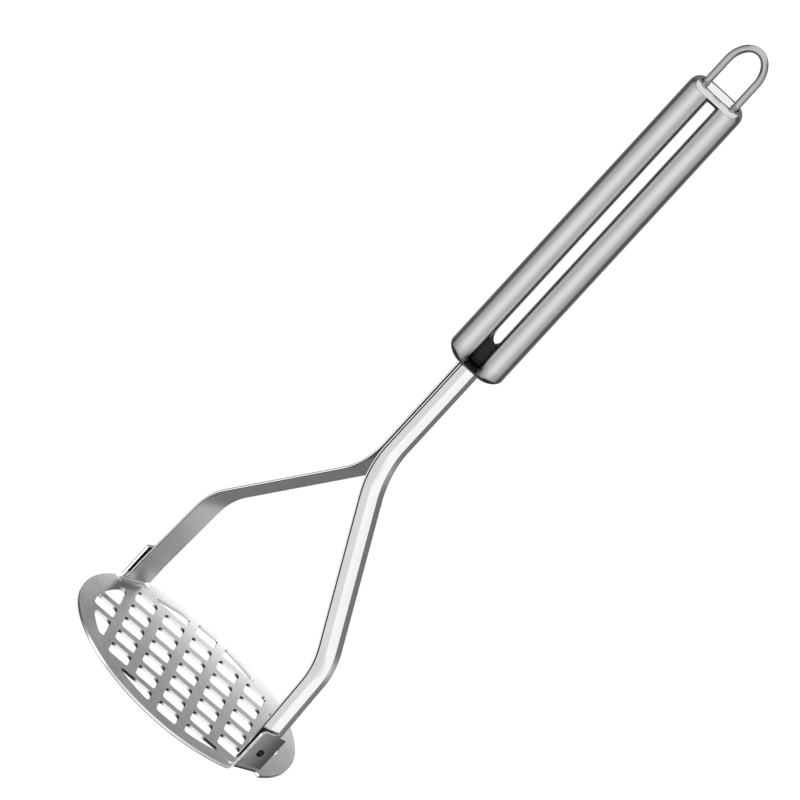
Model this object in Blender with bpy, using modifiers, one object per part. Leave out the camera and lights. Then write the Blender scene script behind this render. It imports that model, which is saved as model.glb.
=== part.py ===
"""Potato masher: a perforated round plate on a two-strip fork, with a slotted hollow handle.

Run with  blender --background --python part.py  or from the Text Editor.

Frame: the masher stands on its plate.  The origin is the middle of the plate's underside,
+Z runs up the handle and +X runs from one strip of the fork to the other.
All lengths are in metres.
"""
import math

import bmesh
import bpy
from mathutils import Matrix, Vector

MM = 0.001

# --- fits -----------------------------------------------------------------------------------
GAP = 0.3 * MM                      # clearance left between pieces that meet

# --- mashing plate --------------------------------------------------------------------------
PLATE_DIAMETER = 85.0 * MM
PLATE_THICKNESS = 1.0 * MM
RIM_SIDES = 96
HOLE_SIDE = 7.8 * MM
HOLE_PITCH = 11.0 * MM
HOLE_CORNER = 1.2 * MM
PLAIN_RIM = 5.9 * MM                # unperforated ring round the holes
HOLE_OVERRUN = 0.6 * MM             # how far the corner of a square hole may stand into that ring
GRID_TURN = math.radians(43.0)      # from +X to the rows of holes
TAB_WIDTH = 11.0 * MM
TAB_HEIGHT = 15.0 * MM              # above the top of the plate, in the middle of the tab
TAB_SKEW = 1.2 * MM                 # one top corner of a tab above the other
TAB_ROUND = 1.8 * MM                # rounding of the higher top corner
TAB_CORNER = 0.4 * MM               # and of the lower one
TAB_SETBACK = 1.3 * MM              # outer face of a tab inside the rim of the plate
TAB_NOTCH = 0.5 * MM                # relief cut along one side of each tab
TAB_FLARE = 2.0 * MM                # hollow rounding where its other side runs into the rim
TAB_BLEND = 3.0 * MM                # stretch of rim over which the bend dies out on that side
BEND_INNER = 1.2 * MM               # inside radius of the bend at the foot of a tab
BEND_STEPS = 6

# --- fork strips ----------------------------------------------------------------------------
STRIP_WIDTH = 10.8 * MM
STRIP_THICKNESS = 1.3 * MM
STRIP_SLOPE_WIDTH = 3.2 * MM        # sloping band along each side of the outer face
STRIP_SLOPE_DROP = 0.45 * MM        # fall across that band
STRIP_EDGE = 0.25 * MM
STRIP_FOOT = 2.5 * MM               # lower end above the plate
STRIP_UPRIGHT = 6.5 * MM            # stretch that lies flat on the tab
STRIP_LEAN = math.radians(2.9)      # of the lower leg, towards the handle
KNEE_HEIGHT = 42.6 * MM
NECK_HEIGHT = 94.3 * MM
KNEE_RADIUS = 21.0 * MM
NECK_RADIUS = 30.0 * MM
FOOT_RADIUS = 10.0 * MM
TANG_WIDTH = 5.0 * MM
TANG_LENGTH = 0.6 * MM

# --- rivets ---------------------------------------------------------------------------------
RIVET_RADIUS = 0.8 * MM
RIVET_HEAD_RADIUS = 1.3 * MM
RIVET_HEAD_HEIGHT = 0.5 * MM
RIVET_HEIGHT = 7.4 * MM             # above the top of the plate
RIVET_DEPTH = 0.9 * MM              # blind hole in the strip

# --- handle ---------------------------------------------------------------------------------
HANDLE_BOTTOM = 140.7 * MM
HANDLE_LENGTH = 121.1 * MM
HANDLE_DEPTH = 12.0 * MM
HANDLE_TURN = math.radians(37.0)    # of the handle's wide side from the line of the fork
LOBE_WIDTH = 8.7 * MM
LOBE_SPACING = 11.6 * MM
WALL = 0.7 * MM
LIP = 0.6 * MM                      # rim of metal left round each cap
WEB = 1.5 * MM                      # both layers of the web between the lobes
SHELL_SPLIT = GAP
FOOT_DOME = 3.0 * MM                # height of the rounding at the lower end
FOOT_DRAW_X = 4.7 * MM              # how far it draws in at the sides
FOOT_MARGIN = 0.6 * MM              # metal of the lower cap in front of and behind the tangs
FOOT_RECESS = 0.9 * MM
FOOT_CAP_THICKNESS = 0.6 * MM
TOP_DOME = 3.2 * MM
TOP_DRAW_X = 2.05 * MM
TOP_DRAW_Y = 1.9 * MM
SHELF = 1.2 * MM                    # unbroken band below the groove, at the lower end
TOP_SHELF = 1.4 * MM                # and above it, at the upper end
GROOVE_RUNOUT = 1.0 * MM
SLOT_WIDTH = 3.2 * MM
SLOT_START = 10.2 * MM              # lowest point of the slot above the bottom of the handle
SLOT_TIP = 4.6 * MM                 # length of the pointed lower end of the slot
SLOT_TIP_SHIFT = 2.4 * MM           # the point lies this far from the slot's far side
SLOT_TIP_LIFT = 1.2 * MM            # rise from the point to the slot's near side
SLOT_END = 4.2 * MM                 # top of the slot below the top of the handle
SLOT_CORNER = 0.5 * MM
CAP_RECESS = 1.2 * MM
CAP_THICKNESS = 0.9 * MM

# --- hanging loop ---------------------------------------------------------------------------
WIRE_RADIUS = 1.2 * MM
LOOP_SPACING = 11.8 * MM            # between the middles of the two legs
LOOP_HEIGHT = 20.2 * MM             # top of the loop above the handle
LOOP_ARCH = 8.7 * MM                # height of the arched part
LEG_INSIDE = 5.0 * MM               # leg below the top of the handle

# --- derived places -------------------------------------------------------------------------
PLATE_RADIUS = PLATE_DIAMETER / 2
FIELD_RADIUS = PLATE_RADIUS - PLAIN_RIM
TAB_OUTER = PLATE_RADIUS - TAB_SETBACK
TAB_INNER = TAB_OUTER - PLATE_THICKNESS
BEND_START = TAB_INNER - BEND_INNER
BEND_NEUTRAL = BEND_INNER + PLATE_THICKNESS / 2
STRIP_OUTER = TAB_INNER - GAP
STRIP_INNER = STRIP_OUTER - STRIP_THICKNESS
RIVET_HOLE = RIVET_RADIUS + GAP
RIVET_Z = PLATE_THICKNESS + RIVET_HEIGHT
HANDLE_TOP = HANDLE_BOTTOM + HANDLE_LENGTH
SEAT_ACROSS = STRIP_THICKNESS + GAP / 2 + GAP
SEAT_ALONG = TANG_WIDTH / 2 + GAP
SEAT_REACH = SEAT_ACROSS * math.sin(HANDLE_TURN) + SEAT_ALONG * math.cos(HANDLE_TURN)
FOOT_DRAW_Y = HANDLE_DEPTH / 2 - (SEAT_REACH + FOOT_MARGIN + GAP + LIP)
LOBE_A = LOBE_WIDTH / 2
LOBE_B = HANDLE_DEPTH / 2
LOBE_C = LOBE_SPACING / 2
HANDLE_HALF = LOBE_C + LOBE_A
TURN = Matrix.Rotation(HANDLE_TURN, 4, "Z")

LOBE_SEGMENTS = 22
DOME_STEPS = 6


# --- general helpers ------------------------------------------------------------------------
def start_scene():
    """Empty the scene and make one collection for the pieces and one for the cutters."""
    for obj in list(bpy.data.objects):
        bpy.data.objects.remove(obj, do_unlink=True)
    pieces = bpy.data.collections.new("potato_masher")
    cutters = bpy.data.collections.new("cutters")
    bpy.context.scene.collection.children.link(pieces)
    bpy.context.scene.collection.children.link(cutters)
    return pieces, cutters


def steel(name, grey, roughness):
    """A bare stainless-steel finish."""
    mat = bpy.data.materials.new(name)
    mat.use_nodes = True
    shader = mat.node_tree.nodes["Principled BSDF"]
    shader.inputs["Base Color"].default_value = (grey, grey, grey, 1.0)
    shader.inputs["Metallic"].default_value = 1.0
    shader.inputs["Roughness"].default_value = roughness
    return mat


def add_object(name, data, collection):
    obj = bpy.data.objects.new(name, data)
    collection.objects.link(obj)
    return obj


def mesh_from(bm, name):
    """Close a bmesh, point its faces outwards and store it."""
    bmesh.ops.remove_doubles(bm, verts=bm.verts, dist=0.001 * MM)
    bmesh.ops.recalc_face_normals(bm, faces=bm.faces)
    mesh = bpy.data.meshes.new(name)
    bm.to_mesh(mesh)
    bm.free()
    return mesh


def applied(obj):
    """Replace an object's data by its evaluated mesh and drop its modifiers."""
    graph = bpy.context.evaluated_depsgraph_get()
    mesh = bpy.data.meshes.new_from_object(obj.evaluated_get(graph))
    bm = bmesh.new()
    bm.from_mesh(mesh)
    bmesh.ops.remove_doubles(bm, verts=bm.verts, dist=0.001 * MM)
    bm.to_mesh(mesh)
    bm.free()
    if obj.type == "MESH":
        obj.modifiers.clear()
        obj.data = mesh
        return obj
    solid = add_object(obj.name + "_solid", mesh, obj.users_collection[0])
    solid.matrix_world = obj.matrix_world
    bpy.data.objects.remove(obj)
    return solid


def cut(obj, cutter, operation="DIFFERENCE"):
    """Boolean with a cutter that stays hidden in its own collection."""
    cutter.hide_render = True
    cutter.display_type = "WIRE"
    mod = obj.modifiers.new(cutter.name, "BOOLEAN")
    mod.operation = operation
    mod.solver = "EXACT"
    mod.object = cutter


def add_prism(bm, outline, low, high, turn=0.0):
    """Extrude a flat outline from low to high and turn it about Z."""
    spin = Matrix.Rotation(turn, 3, "Z")
    face = bm.faces.new([bm.verts.new(spin @ Vector((x, y, low))) for x, y in outline])
    grown = bmesh.ops.extrude_face_region(bm, geom=[face], use_keep_orig=True)
    top = [v for v in grown["geom"] if isinstance(v, bmesh.types.BMVert)]
    bmesh.ops.translate(bm, verts=top, vec=(0, 0, high - low))


def turned(name, profile, collection, steps=24):
    """A solid of revolution about Z; the profile runs down its outer side, from axis to axis."""
    mesh = bpy.data.meshes.new(name)
    mesh.from_pydata([(r, 0, z) for r, z in profile], [(i, i + 1) for i in range(len(profile) - 1)], [])
    obj = add_object(name, mesh, collection)
    screw = obj.modifiers.new("turn", "SCREW")
    screw.steps = steps
    screw.render_steps = steps
    screw.use_merge_vertices = True
    screw.merge_threshold = 0.001 * MM
    return obj


def arc(centre, radius, start, end, steps):
    """Points on a circular arc in a plane, both ends included."""
    angles = [start + (end - start) * i / steps for i in range(steps + 1)]
    return [(centre[0] + radius * math.cos(a), centre[1] + radius * math.sin(a)) for a in angles]


def fillet(before, corner, after, radius, step=math.radians(5)):
    """Points of the arc that rounds off one corner of a polyline."""
    into = math.atan2(corner[1] - before[1], corner[0] - before[0])
    out = math.atan2(after[1] - corner[1], after[0] - corner[0])
    turn = (out - into + math.pi) % (2 * math.pi) - math.pi
    way = math.copysign(1, turn)
    tangent = radius * math.tan(abs(turn) / 2)
    first = (corner[0] - tangent * math.cos(into), corner[1] - tangent * math.sin(into))
    centre = (first[0] - way * radius * math.sin(into), first[1] + way * radius * math.cos(into))
    start = into - way * math.pi / 2
    return arc(centre, radius, start, start + turn, max(2, math.ceil(abs(turn) / step)))


# --- mashing plate --------------------------------------------------------------------------
def square_hole(cx, cy):
    """One rounded square opening."""
    flat = HOLE_SIDE / 2 - HOLE_CORNER
    points = []
    for quarter, (sx, sy) in enumerate(((1, 1), (-1, 1), (-1, -1), (1, -1))):
        start = quarter * math.pi / 2
        points += arc((cx + sx * flat, cy + sy * flat), HOLE_CORNER, start, start + math.pi / 2, 3)
    return points


def full_square(i, j):
    """Whether the square hole in column i and row j fits inside the hole field."""
    far_x = abs(i) * HOLE_PITCH + HOLE_SIDE / 2
    far_y = abs(j) * HOLE_PITCH + HOLE_SIDE / 2
    return math.hypot(far_x, far_y) <= FIELD_RADIUS + HOLE_OVERRUN


def corner_hole(near, base):
    """A three-cornered opening between two lines of the grid and the edge of the hole field."""
    r = HOLE_CORNER
    reach = FIELD_RADIUS - r
    tip = (math.sqrt(reach ** 2 - (base + r) ** 2), base + r)
    peak = (near + r, math.sqrt(reach ** 2 - (near + r) ** 2))
    tip_angle = math.atan2(tip[1], tip[0])
    peak_angle = math.atan2(peak[1], peak[0])
    points = arc((near + r, base + r), r, math.pi, 1.5 * math.pi, 3)
    points += arc(tip, r, -math.pi / 2, tip_angle, 5)
    points += arc((0, 0), FIELD_RADIUS, tip_angle, peak_angle, 6)[1:-1]
    points += arc(peak, r, peak_angle, math.pi, 4)
    return points


def hole_outlines():
    """Every opening of the plate, in the frame of the hole grid."""
    rows = math.ceil(FIELD_RADIUS / HOLE_PITCH)
    reach = range(-rows, rows + 1)
    outlines = [square_hole(i * HOLE_PITCH, j * HOLE_PITCH) for i in reach for j in reach if full_square(i, j)]

    # The outermost row of squares leaves room for a three-cornered hole beside each of its ends.
    outer = max(j for j in reach if full_square(0, j))
    last = max(i for i in reach if full_square(i, outer))
    base = outer * HOLE_PITCH - HOLE_SIDE / 2
    near = (last + 1) * HOLE_PITCH - HOLE_SIDE / 2
    if math.hypot(near + HOLE_CORNER, base + HOLE_CORNER) > FIELD_RADIUS - 2 * HOLE_CORNER:
        return outlines
    sides = (1,) if last + 1 == outer else (1, -1)
    for c, s in ((1, 0), (0, 1), (-1, 0), (0, -1)):
        for side in sides:
            outlines.append([(c * x * side - s * y, s * x * side + c * y) for x, y in corner_hole(near, base)])
    return outlines


def plate_blank():
    """The flat disc with its two ears, before the holes are cut and the ears are bent."""
    bend_length = BEND_NEUTRAL * math.pi / 2
    ear_end = BEND_START + bend_length + TAB_HEIGHT - BEND_INNER
    half = TAB_WIDTH / 2
    notch = half + TAB_NOTCH
    rim_angle = math.asin(notch / PLATE_RADIUS)
    flare = (math.sqrt((PLATE_RADIUS + TAB_FLARE) ** 2 - (half + TAB_FLARE) ** 2), -half - TAB_FLARE)
    flare_angle = math.atan2(flare[1], flare[0])
    high, low = (ear_end + TAB_SKEW / 2, -half), (ear_end - TAB_SKEW / 2, half)
    foot = (BEND_START, half)
    side = arc((0, 0), PLATE_RADIUS, -math.pi / 2, flare_angle, RIM_SIDES // 4)
    side += arc(flare, TAB_FLARE, flare_angle + math.pi, math.pi / 2, 5)[1:]
    side += fillet((flare[0], -half), high, low, TAB_ROUND, math.radians(25))
    side += fillet(high, low, foot, TAB_CORNER, math.radians(30))
    side += [foot, (BEND_START, notch)]
    side += arc((0, 0), PLATE_RADIUS, rim_angle, math.pi / 2, RIM_SIDES // 4)[:-1]

    bm = bmesh.new()
    add_prism(bm, side + [(-x, -y) for x, y in side], 0.0, PLATE_THICKNESS)
    for way in (1, -1):
        for step in range(BEND_STEPS + 1):
            x = BEND_START + bend_length * step / BEND_STEPS
            slice_at(bm, (way * x, 0, 0), (1, 0, 0), way, 0.0)
        for step in range(5):
            slice_at(bm, (0, -way * (half + TAB_BLEND * step / 4), 0), (0, 1, 0), way, BEND_START)
    return bm


def slice_at(bm, point, normal, way, beyond):
    """Adds a line of edges where a plane meets the faces that lie beyond a distance along X."""
    faces = [f for f in bm.faces if way * f.calc_center_median().x > beyond]
    parts = set(faces)
    for face in faces:
        parts.update(face.edges)
        parts.update(face.verts)
    bmesh.ops.bisect_plane(bm, geom=list(parts), plane_co=point, plane_no=normal, dist=0.001 * MM)


def bend_ears(mesh):
    """Fold both ears up; on one side of each the bend dies out along the rim."""
    quarter = BEND_NEUTRAL * math.pi / 2
    for v in mesh.vertices:
        way = math.copysign(1, v.co.x)
        run = abs(v.co.x) - BEND_START
        across = v.co.y * way
        if run <= 0 or across > (TAB_WIDTH + TAB_NOTCH) / 2:
            continue
        share = min(max((across + TAB_WIDTH / 2 + TAB_BLEND) / TAB_BLEND, 0.0), 1.0)
        total = share * share * (3 - 2 * share) * math.pi / 2
        if total < 1e-6:
            continue
        radius = quarter / total
        angle = total * min(run, quarter) / quarter
        beyond = max(run - quarter, 0.0)
        lift = v.co.z - PLATE_THICKNESS / 2
        x = BEND_START + radius * math.sin(angle) + beyond * math.cos(angle) - lift * math.sin(angle)
        v.co.x = way * x
        v.co.z = (PLATE_THICKNESS / 2 + radius * (1 - math.cos(angle)) + beyond * math.sin(angle)
                  + lift * math.cos(angle))


def make_plate(pieces, cutters, mat):
    blank = add_object("mash_plate", mesh_from(plate_blank(), "mash_plate"), pieces)
    bm = bmesh.new()
    for outline in hole_outlines():
        add_prism(bm, outline, -PLATE_THICKNESS, 2 * PLATE_THICKNESS, GRID_TURN)
    holes = add_object("hole_punches", mesh_from(bm, "hole_punches"), cutters)
    cut(blank, holes)
    applied(blank)
    bend_ears(blank.data)
    for way, side in ((1, "right"), (-1, "left")):
        cut(blank, rivet_bore("tab_bore_" + side, way, cutters))
    blank.data.materials.append(mat)


# --- rivets ---------------------------------------------------------------------------------
def rivet_bore(name, way, cutters):
    """A cylinder on a rivet's axis, through the tab and blind in the strip."""
    inner = STRIP_OUTER - RIVET_DEPTH
    outer = TAB_OUTER + RIVET_DEPTH
    spot = (way * (inner + outer) / 2, 0, RIVET_Z)
    bm = bmesh.new()
    bmesh.ops.create_cone(
        bm, cap_ends=True, segments=24, radius1=RIVET_HOLE, radius2=RIVET_HOLE, depth=outer - inner,
        matrix=Matrix.Translation(spot) @ Matrix.Rotation(math.pi / 2, 4, "Y"))
    return add_object(name, mesh_from(bm, name), cutters)


def make_rivet(name, way, pieces, mat):
    """Domed head outside the tab; the shank ends in the strip's blind hole."""
    head = TAB_OUTER + GAP
    shank = head - (STRIP_OUTER - RIVET_DEPTH + GAP)
    sphere = (RIVET_HEAD_RADIUS ** 2 + RIVET_HEAD_HEIGHT ** 2) / (2 * RIVET_HEAD_HEIGHT)
    rise = math.asin(RIVET_HEAD_RADIUS / sphere)
    dome = [(sphere * math.sin(rise * i / 4), RIVET_HEAD_HEIGHT - sphere * (1 - math.cos(rise * i / 4)))
            for i in range(5)]
    profile = dome + [(RIVET_RADIUS, 0.0), (RIVET_RADIUS, -shank), (0.0, -shank)]
    obj = turned(name, profile, pieces)
    obj.location = (way * head, 0, RIVET_Z)
    obj.rotation_euler = (0, way * math.pi / 2, 0)
    obj.data.materials.append(mat)


# --- fork strips ----------------------------------------------------------------------------
def strip_section(collection):
    """Flat inner face, outer face sloping away along both sides, softened edges; +X is outwards."""
    half = STRIP_WIDTH / 2
    edge = STRIP_EDGE
    slope = half - STRIP_SLOPE_WIDTH
    low = STRIP_THICKNESS - STRIP_SLOPE_DROP
    points = [(0, -half + edge), (edge, -half), (low - edge, -half), (low, -half + edge)]
    points += [(STRIP_THICKNESS, -slope), (STRIP_THICKNESS, slope)]
    points += [(low, half - edge), (low - edge, half), (edge, half), (0, half - edge)]
    data = bpy.data.curves.new("strip_section", "CURVE")
    data.dimensions = "2D"
    data.fill_mode = "NONE"
    spline = data.splines.new("POLY")
    spline.points.add(len(points) - 1)
    for target, (x, y) in zip(spline.points, points):
        target.co = (x, y, 0, 1)
    spline.use_cyclic_u = True
    section = add_object("strip_section", data, collection)
    section.hide_render = True
    section.display_type = "WIRE"
    return section


def make_strip(name, way, section, pieces, cutters, mat):
    """One strip of the fork, drawn in the XZ plane along its inner face."""
    foot = PLATE_THICKNESS + STRIP_FOOT
    knee_x = STRIP_OUTER - (KNEE_HEIGHT - foot - STRIP_UPRIGHT) * math.tan(STRIP_LEAN) - STRIP_THICKNESS
    neck_x = GAP / 2
    points = [
        (STRIP_INNER, foot),
        (STRIP_INNER, foot + STRIP_UPRIGHT),
        (knee_x, KNEE_HEIGHT),
        (neck_x, NECK_HEIGHT),
        (neck_x, HANDLE_BOTTOM + TANG_LENGTH),
    ]
    route = [points[0]]
    for i, radius in enumerate((FOOT_RADIUS, KNEE_RADIUS, NECK_RADIUS)):
        route += fillet(points[i], points[i + 1], points[i + 2], radius)
    route.append(points[-1])
    data = bpy.data.curves.new(name, "CURVE")
    data.dimensions = "2D"
    data.fill_mode = "NONE"
    data.bevel_mode = "OBJECT"
    data.bevel_object = section
    data.use_fill_caps = True
    spline = data.splines.new("POLY")
    spline.points.add(len(route) - 1)
    for target, (x, z) in zip(spline.points, route):
        target.co = (x, z, 0, 1)
    curve = add_object(name + "_route", data, pieces)
    curve.rotation_euler = (math.pi / 2, 0, 0)
    bpy.context.view_layer.update()
    solid = applied(curve)
    mesh = solid.data
    mesh.transform(solid.matrix_world)
    solid.matrix_world = Matrix.Identity(4)
    bm = bmesh.new()
    bm.from_mesh(mesh)
    if way < 0:
        bmesh.ops.rotate(bm, verts=bm.verts, cent=(0, 0, 0), matrix=Matrix.Rotation(math.pi, 3, "Z"))
    bmesh.ops.recalc_face_normals(bm, faces=bm.faces)
    bm.to_mesh(mesh)
    bm.free()
    solid.name = name
    cut(solid, rivet_bore(name + "_bore", way, cutters))
    cut(solid, tang_cutter(name + "_tang_cut", way, cutters))
    mesh.materials.clear()
    mesh.materials.append(mat)


def tang_cutter(name, way, cutters):
    """Two blocks that narrow the top of a strip to its tang, below the handle's floor."""
    shoulder = HANDLE_BOTTOM - GAP
    bm = bmesh.new()
    block_width = STRIP_WIDTH
    for side in (1, -1):
        made = bmesh.ops.create_cube(bm, size=1.0)
        bmesh.ops.scale(bm, verts=made["verts"], vec=(4 * STRIP_THICKNESS, block_width, 10 * MM))
        bmesh.ops.translate(bm, verts=made["verts"], vec=(
            0, side * (TANG_WIDTH + block_width) / 2, shoulder + 5 * MM))
    return add_object(name, mesh_from(bm, name), cutters)


# --- handle ---------------------------------------------------------------------------------
def draw_in(depth, dome):
    """Share of the full draw at a distance above (or below) the end of a quarter-round dome."""
    if depth >= dome:
        return 0.0
    return 1.0 - math.sqrt(1.0 - ((dome - depth) / dome) ** 2)


def section_scale(z):
    """Scale of the handle's section across X and Y at height z."""
    low = draw_in(z - HANDLE_BOTTOM, FOOT_DOME)
    high = draw_in(HANDLE_TOP - z, TOP_DOME)
    sx = 1.0 - (FOOT_DRAW_X * low + TOP_DRAW_X * high) / HANDLE_HALF
    sy = 1.0 - (FOOT_DRAW_Y * low + TOP_DRAW_Y * high) / LOBE_B
    return sx, sy


def groove_floor(z):
    """Half thickness of the solid between the lobes at height z, unscaled."""
    inside = min(z - HANDLE_BOTTOM - SHELF, HANDLE_TOP - TOP_SHELF - z)
    share = min(max(inside / GROOVE_RUNOUT, 0.0), 1.0)
    full = LOBE_B * (1.0 - 1e-4)
    return full + (WEB / 2 - full) * math.sin(share * math.pi / 2)


def handle_section(z):
    """Outline of the two lobes and what joins them, counter-clockwise."""
    sx, sy = section_scale(z)
    inner = math.pi - math.asin(groove_floor(z) / LOBE_B)
    points = []
    for side in (1, -1):
        for i in range(LOBE_SEGMENTS + 1):
            a = -inner + 2 * inner * i / LOBE_SEGMENTS
            x = LOBE_C + LOBE_A * math.cos(a)
            y = LOBE_B * math.sin(a)
            points.append((side * x * sx, side * y * sy))
    return points


def lobe_bore_section(z, side):
    """Outline of the hollow inside one lobe."""
    sx, sy = section_scale(z)
    points = []
    for i in range(LOBE_SEGMENTS):
        a = 2 * math.pi * i / LOBE_SEGMENTS
        x = side * LOBE_C * sx + (LOBE_A * sx - WALL) * math.cos(a)
        y = (LOBE_B * sy - WALL) * math.sin(a)
        points.append((x, y))
    return points


def loft(bm, heights, section):
    """Skin between equal-length sections at rising heights, capped at both ends."""
    rings = [[bm.verts.new((x, y, z)) for x, y in section(z)] for z in heights]
    count = len(rings[0])
    for lower, upper in zip(rings, rings[1:]):
        for i in range(count):
            j = (i + 1) % count
            bm.faces.new((lower[i], lower[j], upper[j], upper[i]))
    bm.faces.new(list(reversed(rings[0])))
    bm.faces.new(rings[-1])


def dome_heights(start, end, low_dome, high_dome):
    """Heights from start to end, close together inside the two domes."""
    def ramp(first, last):
        return [first + (last - first) * (1 - math.cos(math.pi / 2 * i / DOME_STEPS)) for i in range(DOME_STEPS + 1)]

    low = ramp(start, HANDLE_BOTTOM + low_dome)
    groove_low = [HANDLE_BOTTOM + SHELF + GROOVE_RUNOUT * i / 3 for i in range(4)]
    groove_high = [HANDLE_TOP - TOP_SHELF - GROOVE_RUNOUT * i / 3 for i in range(4)]
    high = ramp(end, HANDLE_TOP - high_dome)
    heights = sorted(low + groove_low + groove_high + high)
    kept = [heights[0]]
    for z in heights[1:]:
        if z - kept[-1] > 0.08 * MM and z <= end:
            kept.append(z)
    kept[-1] = end
    return kept


def slot_outline():
    """Side view of the slot: pointed towards one side below, nearly square above."""
    half = SLOT_WIDTH / 2
    low = HANDLE_BOTTOM + SLOT_START
    high = HANDLE_TOP - SLOT_END
    steps = 8
    tip = [(-half, low + SLOT_TIP)]
    for i in range(1, steps + 1):
        a = math.pi / 2 * i / steps
        tip.append((-half + SLOT_TIP_SHIFT * (1 - math.cos(a)), low + SLOT_TIP * (1 - math.sin(a))))
    near, far = (half, high), (-half, high)
    tip += [(half, low + SLOT_TIP_LIFT)]
    tip += fillet((half, low), near, far, SLOT_CORNER, math.radians(30))
    tip += fillet(near, far, (-half, low), SLOT_CORNER, math.radians(30))
    return tip


def make_handle(pieces, cutters, mat):
    body_bm = bmesh.new()
    loft(body_bm, dome_heights(HANDLE_BOTTOM, HANDLE_TOP, FOOT_DOME, TOP_DOME), handle_section)
    body_mesh = mesh_from(body_bm, "handle_body")

    bore_bm = bmesh.new()
    floor = HANDLE_BOTTOM + FOOT_RECESS / 2
    ceiling = HANDLE_TOP - CAP_RECESS / 2
    for side in (1, -1):
        loft(bore_bm, dome_heights(floor, ceiling, FOOT_DOME, TOP_DOME), lambda z: lobe_bore_section(z, side))
    bores = add_object("lobe_bores", mesh_from(bore_bm, "lobe_bores"), cutters)

    slot_bm = bmesh.new()
    add_prism(slot_bm, slot_outline(), -HANDLE_DEPTH, HANDLE_DEPTH)
    slot_mesh = mesh_from(slot_bm, "slot_cut")
    slot_mesh.transform(Matrix.Rotation(math.pi / 2, 4, "X"))
    slot = add_object("slot_cut", slot_mesh, cutters)

    recess_bm = bmesh.new()
    add_prism(recess_bm, top_outline(0.0), HANDLE_TOP - CAP_RECESS, HANDLE_TOP + CAP_RECESS)
    add_prism(recess_bm, foot_outline(0.0), HANDLE_BOTTOM - FOOT_RECESS, HANDLE_BOTTOM + FOOT_RECESS)
    recess = add_object("cap_recesses", mesh_from(recess_bm, "cap_recesses"), cutters)

    for name, way in (("handle_front_shell", -1), ("handle_back_shell", 1)):
        keep_bm = bmesh.new()
        made = bmesh.ops.create_cube(keep_bm, size=1.0)
        size = (4 * HANDLE_HALF, 2 * HANDLE_DEPTH, HANDLE_LENGTH + 20 * MM)
        bmesh.ops.scale(keep_bm, verts=made["verts"], vec=size)
        bmesh.ops.translate(keep_bm, verts=made["verts"], vec=(
            0, way * (HANDLE_DEPTH + SHELL_SPLIT / 2), HANDLE_BOTTOM + HANDLE_LENGTH / 2))
        keep = add_object(name + "_half", mesh_from(keep_bm, name + "_half"), cutters)
        shell = add_object(name, body_mesh.copy(), pieces)
        for tool in (bores, slot, recess):
            cut(shell, tool)
        cut(shell, keep, "INTERSECT")
        bpy.context.view_layer.update()
        applied(shell)
        shell.data.transform(TURN)
        shell.data.materials.append(mat)


def oval(half_x, half_y, power):
    """A flattened oval; a power below one squares it up."""
    count = 40
    points = []
    for i in range(count):
        a = 2 * math.pi * i / count
        c, s = math.cos(a), math.sin(a)
        points.append((half_x * math.copysign(abs(c) ** power, c), half_y * math.copysign(abs(s) ** power, s)))
    return points


def top_outline(inset):
    """Outline of the recess in the top of the handle, drawn in by inset."""
    half_x = HANDLE_HALF - TOP_DRAW_X - LIP - inset
    return oval(half_x, LOBE_B - TOP_DRAW_Y - LIP - inset, 0.75)


def foot_outline(inset):
    """Outline of the recess in the bottom of the handle, drawn in by inset."""
    half_x = HANDLE_HALF - FOOT_DRAW_X - LIP - inset
    return oval(half_x, LOBE_B - FOOT_DRAW_Y - LIP - inset, 0.8)


def make_end_cap(pieces, cutters, mat):
    bm = bmesh.new()
    low = HANDLE_TOP - CAP_RECESS + GAP
    add_prism(bm, top_outline(GAP), low, low + CAP_THICKNESS)
    cap = add_object("end_cap", mesh_from(bm, "end_cap"), pieces)
    hole_bm = bmesh.new()
    for side in (1, -1):
        bmesh.ops.create_cone(
            hole_bm, cap_ends=True, segments=20, radius1=WIRE_RADIUS + GAP, radius2=WIRE_RADIUS + GAP,
            depth=6 * MM, matrix=Matrix.Translation((side * LOOP_SPACING / 2, 0, HANDLE_TOP)))
    cut(cap, add_object("leg_holes", mesh_from(hole_bm, "leg_holes"), cutters))
    bpy.context.view_layer.update()
    applied(cap)
    cap.data.transform(TURN)
    cap.data.materials.append(mat)


def make_lower_cap(pieces, cutters, mat):
    """Closes the bottom of the handle round the two tangs."""
    bm = bmesh.new()
    low = HANDLE_BOTTOM
    add_prism(bm, foot_outline(GAP), low, low + FOOT_CAP_THICKNESS)
    cap = add_object("lower_cap", mesh_from(bm, "lower_cap"), pieces)
    across, along = SEAT_ACROSS, SEAT_ALONG
    rectangle = [(-across, -along), (across, -along), (across, along), (-across, along)]
    seat_bm = bmesh.new()
    add_prism(seat_bm, rectangle, low - FOOT_RECESS, low + 2 * FOOT_RECESS, -HANDLE_TURN)
    cut(cap, add_object("tang_seat", mesh_from(seat_bm, "tang_seat"), cutters))
    bpy.context.view_layer.update()
    applied(cap)
    cap.data.transform(TURN)
    cap.data.materials.append(mat)


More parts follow.
